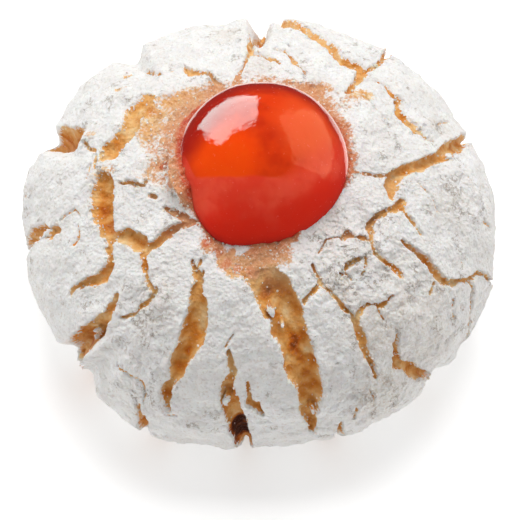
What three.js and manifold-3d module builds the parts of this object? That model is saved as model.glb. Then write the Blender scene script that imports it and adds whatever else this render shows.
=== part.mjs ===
// Almond paste cookie: a domed crust under icing sugar, split open by baking, with one candied
// cherry pressed into its top.
// Lengths are millimetres. The flat underside lies on z = 0, +Z is up and -Y is the front.
import * as THREE from "three";
import { mergeVertices } from "three/addons/utils/BufferGeometryUtils.js";
import Module from "manifold-3d";

const wasm = await Module();
wasm.setup();

// The dome's profile is two half superellipses that meet at the waist.
const WAIST_RADIUS = 23.7;
const WAIST_HEIGHT = 9.0;
const DOME_HEIGHT = 25.5;
const UNDERCUT_DEPTH = 14.4; // of the lower half, before the flat underside trims it
const PROFILE_POWER = 2.08; // 2 is an ellipse, more is squarer

// Waves round the dough's outline, as it slumped: how many, how far out, where a crest points.
const OUTLINE_WAVES = [
  { count: 2, reach: 0.17, crest: -15 },
  { count: 3, reach: 0.18, crest: 13 },
  { count: 4, reach: 0.27, crest: -25 },
  { count: 5, reach: 0.12, crest: 23 },
];

// Soft unevenness of the crust: the size of each lump and how far it stands out.
const CRUST_LUMPS = [
  { size: 7.5, height: 0.42 },
  { size: 3.2, height: 0.22 },
];
const CRUST_DETAIL = 13;
const WORK_TRIM = 90; // block that trims the underside flat, larger than the dough

const CHERRY_RADIUS = 8.5;
const CHERRY_CENTRE = new THREE.Vector3(0.3, -1.2, 23.4);
const CHERRY_LUMPS = [{ size: 6.5, height: 0.3 }];
const CHERRY_DETAIL = 9;
const SOCKET_GAP = 0.3;

// A place on the crust is given on a map: x to the right, y to the back, and the distance from
// the map's middle is the angle from straight up, seen from the waist's centre.
const MAP_MM_PER_RADIAN = 20.4;
const STATION_STEP = 1.35; // along a crack
const EDGE_RAGGEDNESS = 0.28; // share of a crack's half width by which its edges wander
const FLOOR_INSET = 0.24; // share of a crack's width taken by each sloping wall
const CRACK_DEPTH_LEAST = 0.35;
const CRACK_DEPTH_PER_WIDTH = 0.6;
const CRACK_DEPTH_MOST = 2.9;
const CUT_CLEARANCE = 1.6; // by which a cutting block stands clear of the crust
const COLLAR_DEPTH = 0.8; // of the bare ring of paste round the cherry
const RAGGED_SEED = 41;
const LUMP_SEED = 17;

const SUGAR_COLOUR = "#e9e7e4";
const SUGAR_ROUGHNESS = 0.95;
const CHERRY_COLOUR = "#c32a12";
const CHERRY_ROUGHNESS = 0.14;

const MERGE_DISTANCE = 1e-3;
const SLIVER_LIMITS = [0.01, 0.02]; // thinner slivers left by the cuts are closed up, in turn

// Each crack: its name and its turning points on the crust map as [x, y, width].
const CRACKS = [
  ["front split", [[-1.6, -14.2, 3.6], [1.0, -16.9, 3.0], [2.4, -18.6, 3.5], [4.6, -22.6, 3.4],
    [5.8, -26.2, 3.2], [6.2, -28.4, 2.4], [6.9, -30.3, 1.6], [7.3, -31.8, 0.5]]],
  ["left front split", [[-7.9, -13.2, 0.5], [-7.3, -15.5, 1.5], [-7.1, -19.8, 2.5],
    [-8.4, -22.0, 2.1], [-10.1, -24.5, 1.1], [-11.0, -25.5, 1.6], [-11.4, -27.2, 0.6]]],
  ["left front fork", [[-6.8, -15.8, 0.4], [-5.4, -14.0, 0.3]]],
  ["arch split", [[-3.9, -22.3, 0.4], [-3.1, -23.9, 0.8], [-3.9, -25.8, 1.5], [-3.2, -28.2, 1.5],
    [-3.1, -30.0, 2.8], [-2.8, -33.0, 3.7], [-3.2, -44.0, 4.4]]],
  ["arch fork", [[-4.6, -26.2, 0.7], [-5.3, -27.4, 0.4], [-4.4, -29.0, 0.6]]],
  ["front nick", [[-1.3, -25.6, 0.3], [-1.0, -27.0, 0.6], [0.2, -28.0, 0.7], [0.8, -29.3, 0.3]]],
  ["right front crack", [[6.2, -15.0, 0.3], [8.7, -17.0, 0.5], [9.4, -18.1, 0.6],
    [11.1, -18.8, 0.8], [12.0, -20.6, 1.1], [12.3, -22.0, 1.0], [14.2, -24.0, 0.5]]],
  ["right front fork", [[11.2, -18.7, 0.6], [12.3, -17.1, 0.5], [13.4, -17.0, 0.5],
    [15.2, -15.2, 0.3]]],
  ["right front link", [[6.9, -15.9, 0.5], [6.3, -16.9, 0.6], [4.6, -18.1, 0.3]]],
  ["right lower split", [[16.1, -19.6, 0.7], [16.5, -21.4, 1.0], [17.4, -22.4, 1.5],
    [20.0, -22.4, 0.8], [23.0, -22.3, 1.2], [27.0, -22.5, 2.2], [36.0, -26.0, 2.6]]],
  ["lower right nick", [[12.4, -27.7, 0.4], [12.9, -28.8, 0.4]]],
  ["lower right notch", [[10.6, -29.2, 0.4], [11.2, -30.6, 0.9], [12.6, -33.2, 2.2],
    [15.5, -42.0, 3.0]]],
  ["lower left notch", [[-15.2, -25.4, 0.4], [-15.4, -27.3, 1.0], [-16.6, -29.6, 1.8],
    [-22.0, -39.0, 3.4]]],
  ["left lower split", [[-16.3, -15.3, 0.7], [-17.3, -16.7, 1.0], [-19.8, -17.9, 1.7],
    [-24.0, -18.9, 2.4], [-36.0, -24.0, 2.8]]],
  ["left ring crack", [[-18.3, -1.5, 1.0], [-18.5, -4.2, 2.3], [-17.7, -7.0, 1.8],
    [-17.3, -9.5, 0.8], [-17.1, -12.3, 0.6], [-18.2, -13.2, 1.1], [-21.0, -12.6, 0.6],
    [-23.0, -13.8, 0.5]]],
  ["left branch", [[-16.9, -8.7, 0.5], [-15.0, -9.2, 0.9], [-13.5, -11.3, 1.2],
    [-11.6, -11.3, 0.9], [-10.3, -10.0, 0.4], [-8.3, -9.2, 0.7]]],
  ["left branch fork", [[-13.3, -11.6, 0.8], [-13.1, -13.6, 0.6], [-12.6, -15.0, 0.3]]],
  ["thin left crack", [[-11.6, -15.9, 0.4], [-12.2, -16.6, 0.5], [-14.0, -17.6, 0.4],
    [-15.6, -17.3, 0.3]]],
  ["upper left split", [[-17.0, 1.0, 1.4], [-16.3, 2.9, 2.0], [-15.1, 4.7, 1.6],
    [-14.4, 6.3, 1.2], [-13.6, 8.6, 0.6]]],
  ["upper left link", [[-17.4, 1.6, 0.5], [-19.2, 3.1, 0.5], [-20.0, 4.9, 0.3]]],
  ["upper left notch", [[-20.6, 4.6, 0.5], [-21.3, 6.2, 1.9], [-22.0, 8.2, 2.2],
    [-23.2, 11.0, 1.6], [-27.0, 17.0, 2.0]]],
  ["left notch", [[-23.6, -5.0, 0.6], [-25.0, -4.8, 1.2], [-30.0, -2.0, 1.4],
    [-41.0, 1.0, 2.4]]],
  ["left nick", [[-15.8, -2.8, 0.3], [-13.7, -3.5, 0.4], [-12.9, -1.3, 0.4]]],
  ["top left crack", [[-14.0, 15.5, 0.3], [-12.9, 13.6, 0.6], [-11.7, 12.1, 0.8]]],
  ["top left elbow", [[-8.8, 13.8, 0.3], [-8.1, 11.9, 0.7], [-6.4, 11.8, 0.7],
    [-5.3, 10.0, 0.6]]],
  ["back split", [[0.4, 26.0, 1.4], [-0.5, 20.5, 0.6], [-1.1, 15.4, 0.8], [-2.0, 13.0, 0.3],
    [-3.0, 10.3, 0.8]]],
  ["back fork", [[-1.1, 15.3, 0.4], [0.6, 14.6, 0.7], [2.5, 13.6, 0.3]]],
  ["back hook", [[1.8, 15.8, 0.3], [3.6, 14.7, 0.4], [5.5, 12.2, 0.3]]],
  ["back right band", [[4.8, 42.0, 2.0], [3.4, 35.0, 1.6], [4.4, 30.0, 1.8], [3.9, 22.3, 2.2],
    [5.9, 20.0, 1.4], [8.0, 18.1, 1.5], [10.4, 15.0, 1.8], [11.9, 14.0, 1.1],
    [12.1, 12.2, 0.7], [11.1, 9.4, 0.5]]],
  ["back right branch", [[12.3, 13.2, 0.4], [13.9, 15.0, 0.4], [15.6, 21.8, 1.2],
    [18.0, 28.0, 1.8]]],
  ["far right crack", [[14.0, 12.8, 0.4], [15.1, 10.8, 0.8], [17.0, 9.6, 0.3]]],
  ["far right elbow", [[15.9, 8.4, 0.5], [16.8, 6.2, 0.8], [18.2, 4.7, 0.6], [20.3, 4.5, 0.3]]],
  ["inner right crack", [[12.5, 8.2, 0.4], [14.9, 6.1, 0.3]]],
  ["right split", [[31.0, 16.5, 2.0], [24.9, 10.2, 0.9], [23.3, 6.9, 0.7], [21.6, 4.0, 1.1],
    [19.3, 0.9, 1.3], [16.8, -1.4, 1.3], [15.4, -3.5, 1.6], [15.2, -4.5, 0.8]]],
  ["right split side", [[15.1, -2.4, 0.4], [13.0, -2.6, 0.4], [11.0, -4.0, 0.3]]],
  ["right ring crack", [[16.0, -5.4, 1.2], [14.4, -7.0, 0.7], [13.0, -7.8, 0.8],
    [12.6, -10.5, 0.5], [13.1, -12.1, 0.6], [15.0, -12.7, 0.5], [16.2, -13.3, 0.3]]],
  ["right ring tail", [[16.3, -6.2, 0.4], [18.0, -8.3, 0.3]]],
  ["right ring foot", [[13.0, -12.3, 0.4], [11.9, -14.0, 0.3]]],
  ["right ring hook", [[11.9, -12.6, 0.3], [10.4, -13.6, 0.4], [10.0, -14.8, 0.3]]],
  ["right lower ring", [[16.2, -9.2, 0.3], [18.8, -10.5, 0.9], [20.4, -11.8, 1.5],
    [22.0, -12.0, 0.5], [25.0, -10.0, 0.9], [28.8, -7.8, 0.5], [34.0, -6.0, 0.8]]],
  ["right lower tail", [[20.0, -13.1, 0.3], [19.3, -14.2, 0.3]]],
  ["right rim crack", [[26.5, -12.2, 0.3], [27.4, -13.1, 0.5], [31.0, -14.0, 1.0]]],
  ["back left split", [[-9.5, 25.0, 0.4], [-9.0, 29.0, 1.6], [-11.0, 34.0, 2.0],
    [-10.5, 43.0, 2.4]]],
  ["back left fork", [[-9.6, 31.0, 0.9], [-13.5, 29.5, 0.8], [-17.5, 31.0, 0.4]]],
  ["back right split", [[19.0, 22.5, 0.4], [20.5, 26.0, 1.3], [25.0, 29.5, 1.8],
    [29.0, 35.0, 2.2]]],
  ["back right link", [[17.8, 27.6, 1.0], [13.0, 31.0, 0.8], [8.5, 30.0, 0.4]]],
  ["far left split", [[-25.5, 20.5, 0.5], [-29.5, 23.0, 1.4], [-36.0, 27.0, 1.8]]],
  ["right low split", [[34.0, 4.5, 0.5], [37.5, 2.5, 1.2], [44.0, 3.5, 1.8]]],
];

// The ring of bare paste round the cherry, widest on the left where the dough rose against it.
const COLLAR = [[4.2, -11.2, 1.4], [0.6, -12.7, 2.6], [-3.5, -12.4, 2.2], [-7.2, -9.4, 1.8],
  [-9.4, -5.2, 2.0], [-10.9, -1.0, 3.2], [-11.2, 3.5, 4.4], [-9.8, 7.6, 4.2], [-7.0, 9.4, 2.2],
  [-3.0, 10.5, 1.4], [1.0, 10.7, 1.4], [5.5, 9.7, 2.2], [8.4, 7.4, 2.4], [10.0, 3.0, 1.8],
  [10.5, -1.5, 1.5], [9.6, -5.2, 0.8]];

const WAIST_CENTRE = new THREE.Vector3(0, 0, WAIST_HEIGHT);

function repeatableRandom(seed) {
  let state = seed;
  return () => {
    state = (Math.imul(state, 1664525) + 1013904223) >>> 0;
    return state / 4294967296;
  };
}

function cornerValue(x, y, z, seed) {
  let mix = Math.imul(x, 374761393) ^ Math.imul(y, 668265263) ^ Math.imul(z, 2147483647) ^ seed;
  mix = Math.imul(mix ^ (mix >>> 13), 1274126177);
  return (((mix ^ (mix >>> 16)) >>> 0) / 4294967295) * 2 - 1;
}

// Smooth noise between -1 and 1, from random values at whole-numbered corners.
function softNoise(point, seed) {
  const base = [Math.floor(point.x), Math.floor(point.y), Math.floor(point.z)];
  const part = [point.x - base[0], point.y - base[1], point.z - base[2]];
  const ease = part.map((share) => share * share * (3 - 2 * share));
  let sum = 0;
  for (let corner = 0; corner < 8; corner++) {
    const step = [corner & 1, (corner >> 1) & 1, (corner >> 2) & 1];
    const weight = step.reduce((all, on, i) => all * (on ? ease[i] : 1 - ease[i]), 1);
    sum += weight * cornerValue(base[0] + step[0], base[1] + step[1], base[2] + step[2], seed);
  }
  return sum;
}

function lumpiness(point, lumps) {
  return lumps.reduce((sum, { size, height }, i) =>
    sum + height * softNoise(point.clone().divideScalar(size), LUMP_SEED + i), 0);
}

// Distance from the waist's centre to the smooth dough in the direction given.
function doughRadius(direction) {
  const across = Math.hypot(direction.x, direction.y);
  const halfHeight = direction.z > 0 ? DOME_HEIGHT - WAIST_HEIGHT : UNDERCUT_DEPTH;
  const radius = ((across / WAIST_RADIUS) ** PROFILE_POWER
    + (Math.abs(direction.z) / halfHeight) ** PROFILE_POWER) ** (-1 / PROFILE_POWER);
  const bearing = Math.atan2(direction.y, direction.x);
  const wave = OUTLINE_WAVES.reduce((sum, { count, reach, crest }) =>
    sum + reach * Math.cos(count * (bearing - THREE.MathUtils.degToRad(crest))), 0);
  return radius * (1 + (wave / WAIST_RADIUS) * across);
}

function crustRadius(direction) {
  const radius = doughRadius(direction);
  return radius + lumpiness(direction.clone().multiplyScalar(radius), CRUST_LUMPS);
}

function mapDirection(x, y) {
  const tilt = Math.hypot(x, y) / MAP_MM_PER_RADIAN;
  const bearing = Math.atan2(y, x);
  return new THREE.Vector3(Math.sin(tilt) * Math.cos(bearing),
    Math.sin(tilt) * Math.sin(bearing), Math.cos(tilt));
}

// A closed body from a geometry class's surface, its seams joined.
function solidFrom(geometry) {
  const bare = geometry.clone();
  bare.deleteAttribute("normal");
  bare.deleteAttribute("uv");
  const joined = mergeVertices(bare, MERGE_DISTANCE);
  return new wasm.Manifold(new wasm.Mesh({
    numProp: 3,
    vertProperties: Float32Array.from(joined.attributes.position.array),
    triVerts: Uint32Array.from(joined.index.array),
  }));
}

// A unit sphere of nearly equal triangles, its corners moved out by the function given.
function roundBody(detail, radiusAt, centre) {
  const ball = new THREE.IcosahedronGeometry(1, detail);
  ball.deleteAttribute("normal");
  ball.deleteAttribute("uv");
  const joined = mergeVertices(ball, MERGE_DISTANCE);
  const corners = joined.attributes.position;
  const direction = new THREE.Vector3();
  for (let i = 0; i < corners.count; i++) {
    direction.fromBufferAttribute(corners, i).normalize();
    const corner = direction.clone().multiplyScalar(radiusAt(direction)).add(centre);
    corners.setXYZ(i, corner.x, corner.y, corner.z);
  }
  return joined;
}

function cherryBody(extra) {
  const radiusAt = (direction) => CHERRY_RADIUS + extra
    + lumpiness(direction.clone().multiplyScalar(CHERRY_RADIUS), CHERRY_LUMPS);
  return roundBody(CHERRY_DETAIL, radiusAt, CHERRY_CENTRE);
}

// The turning points of a crack with more between them, close enough to look torn.
function stationsAlong(path, random, depthAt) {
  const stations = [];
  path.forEach(([x, y, width], i) => {
    const [toX, toY, toWidth] = path[Math.min(i + 1, path.length - 1)];
    const length = Math.hypot(toX - x, toY - y);
    const steps = Math.max(1, Math.round(length / STATION_STEP));
    for (let step = 0; step < (length > 0 ? steps : 1); step++) {
      const share = step / steps;
      const here = width + (toWidth - width) * share;
      stations.push({ x: x + (toX - x) * share, y: y + (toY - y) * share, depth: depthAt(here),
        left: (here / 2) * (1 + EDGE_RAGGEDNESS * (2 * random() - 1)),
        right: (here / 2) * (1 + EDGE_RAGGEDNESS * (2 * random() - 1)) });
    }
  });
  return stations;
}

// The four corners of a crack's section: both lips clear of the crust and both floor edges.
// All lie on rays from the waist's centre, so the section is flat.
function crackSection(stations, i) {
  const before = stations[Math.max(i - 1, 0)];
  const after = stations[Math.min(i + 1, stations.length - 1)];
  const { x, y, left, right, depth } = stations[i];
  const run = Math.hypot(after.x - before.x, after.y - before.y);
  const sideX = -(after.y - before.y) / run;
  const sideY = (after.x - before.x) / run;
  const lips = [mapDirection(x + sideX * left, y + sideY * left),
    mapDirection(x - sideX * right, y - sideY * right)];
  const floorEdge = (from, to) => from.clone().lerp(to, FLOOR_INSET).normalize();
  const floor = [floorEdge(lips[0], lips[1]), floorEdge(lips[1], lips[0])];
  const reach = (direction, above) =>
    direction.clone().multiplyScalar(doughRadius(direction) + above).add(WAIST_CENTRE);
  return { lips: lips.map((direction) => reach(direction, CUT_CLEARANCE)),
    floor: floor.map((direction) => reach(direction, -depth)) };
}

// A crack's cutting body: a long box whose rings of corners are moved onto the sections.
function crackCutter(path, random, depthAt) {
  const stations = stationsAlong(path, random, depthAt);
  const sections = stations.map((station, i) => crackSection(stations, i));
  const lengths = sections.length - 1;
  const strip = new THREE.BoxGeometry(1, 1, 1, 1, lengths, 1);
  const corners = strip.attributes.position;
  for (let i = 0; i < corners.count; i++) {
    const { lips, floor } = sections[Math.round((corners.getY(i) + 0.5) * lengths)];
    const corner = (corners.getZ(i) > 0 ? lips : floor)[corners.getX(i) < 0 ? 0 : 1];
    corners.setXYZ(i, corner.x, corner.y, corner.z);
  }
  return solidFrom(strip);
}

function allCutters() {
  const random = repeatableRandom(RAGGED_SEED);
  const depthAt = (width) => Math.min(CRACK_DEPTH_MOST,
    CRACK_DEPTH_LEAST + CRACK_DEPTH_PER_WIDTH * width);
  const cracks = CRACKS.map(([, path]) => crackCutter(path, random, depthAt));
  return [...cracks, crackCutter(COLLAR, random, () => COLLAR_DEPTH)];
}

// The cookie without crumbs that the cuts freed, or slivers thinner than the limits.
function cleanBody(solid) {
  const largest = solid.decompose().sort((a, b) => b.volume() - a.volume())[0];
  return SLIVER_LIMITS.reduce((body, limit) => body.asOriginal().simplify(limit), largest);
}

function cookieSolid() {
  const dough = solidFrom(roundBody(CRUST_DETAIL, crustRadius, WAIST_CENTRE));
  const underside = new THREE.BoxGeometry(WORK_TRIM, WORK_TRIM, WORK_TRIM);
  underside.translate(0, 0, -WORK_TRIM / 2);
  const cutters = wasm.Manifold.union([...allCutters(), solidFrom(underside),
    solidFrom(cherryBody(SOCKET_GAP))]);
  return cleanBody(dough.subtract(cutters));
}

function meshFrom(solid, name, material) {
  const { vertProperties, triVerts, numProp } = solid.getMesh();
  const geometry = new THREE.BufferGeometry();
  geometry.setAttribute("position", new THREE.BufferAttribute(vertProperties, numProp));
  geometry.setIndex(new THREE.BufferAttribute(triVerts, 1));
  geometry.computeVertexNormals();
  const mesh = new THREE.Mesh(geometry, material);
  mesh.name = name;
  return mesh;
}

const sugar = new THREE.MeshStandardMaterial({ color: SUGAR_COLOUR, roughness: SUGAR_ROUGHNESS,
  metalness: 0 });
const candied = new THREE.MeshStandardMaterial({ color: CHERRY_COLOUR,
  roughness: CHERRY_ROUGHNESS, metalness: 0 });

const almondCookie = new THREE.Group();
almondCookie.name = "almond_cookie";
almondCookie.add(meshFrom(cookieSolid(), "cookie", sugar));
almondCookie.add(meshFrom(solidFrom(cherryBody(0)), "cherry", candied));

export default almondCookie;
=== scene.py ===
"""Looks of an almond paste cookie: a cracked crust of icing sugar over golden almond paste,
with one candied cherry in its top. The dough and the cherry repeat the CAD's named sizes, and
the cracks follow the CAD's in finer steps, with a few more branches. Lengths are millimetres
until a mesh is made, and then metres."""
import math

import bmesh
import bpy
import numpy as np
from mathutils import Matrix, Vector


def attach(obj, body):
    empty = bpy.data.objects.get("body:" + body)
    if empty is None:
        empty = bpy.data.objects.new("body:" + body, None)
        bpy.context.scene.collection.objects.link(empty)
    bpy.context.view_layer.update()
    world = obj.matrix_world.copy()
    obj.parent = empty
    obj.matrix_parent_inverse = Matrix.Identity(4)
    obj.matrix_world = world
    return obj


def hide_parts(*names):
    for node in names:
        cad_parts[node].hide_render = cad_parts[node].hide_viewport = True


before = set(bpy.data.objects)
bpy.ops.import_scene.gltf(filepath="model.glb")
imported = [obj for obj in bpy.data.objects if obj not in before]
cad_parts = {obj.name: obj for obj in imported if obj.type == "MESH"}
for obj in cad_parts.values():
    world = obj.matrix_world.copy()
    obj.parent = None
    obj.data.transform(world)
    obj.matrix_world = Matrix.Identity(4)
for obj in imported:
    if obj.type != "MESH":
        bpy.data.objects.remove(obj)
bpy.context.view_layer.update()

MM = 0.001

# ---- The dough, the cherry and the cracks ----
WAIST_RADIUS = 23.7
WAIST_HEIGHT = 9.0
DOME_HEIGHT = 25.5
UNDERCUT_DEPTH = 14.4
PROFILE_POWER = 2.08
OUTLINE_WAVES = [(2, 0.17, -15), (3, 0.18, 13), (4, 0.27, -25), (5, 0.12, 23)]  # count, reach, crest
CRUST_LUMPS = [(7.5, 0.42), (3.2, 0.22)]  # size, height
# Swells of the outline seen from the front and above, and below nought the notches in it:
# degrees round from the right about the waist's centre, reach in degrees, height.
OUTLINE_SWELLS = [
    (335, 26, -0.5), (321.5, 7, -1.0), (316, 4, -0.3), (30, 20, -0.4), (22, 5, -0.35), (80, 6, 0.35),
    (90, 4.2, -2.3), (101, 6, -0.45), (125.5, 5.5, -1.5), (131, 9, -0.5), (147, 12, -0.6),
    (155.5, 4.5, -1.3), (168, 11, 0.5), (193, 13, 0.4), (211.5, 3.6, -1.4), (215.5, 2.5, 0.7),
    (219, 6.5, -1.0), (266, 30, -0.8)
]
OUTLINE_TILT = 0.29  # how far the flat dough's outline comes forward in front
LUMP_SEED = 17
CHERRY_RADIUS = 8.5
CHERRY_CENTRE = np.array([0.3, -1.2, 23.4])
CHERRY_LUMPS = [(6.5, 0.3)]  # size, height
CHERRY_SWELLS = [((-0.52, -0.85, 0.0), 34, 0.9)]  # direction, reach in degrees, height
MAP_MM_PER_RADIAN = 20.4
WAIST_CENTRE = np.array([0.0, 0.0, WAIST_HEIGHT])

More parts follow.
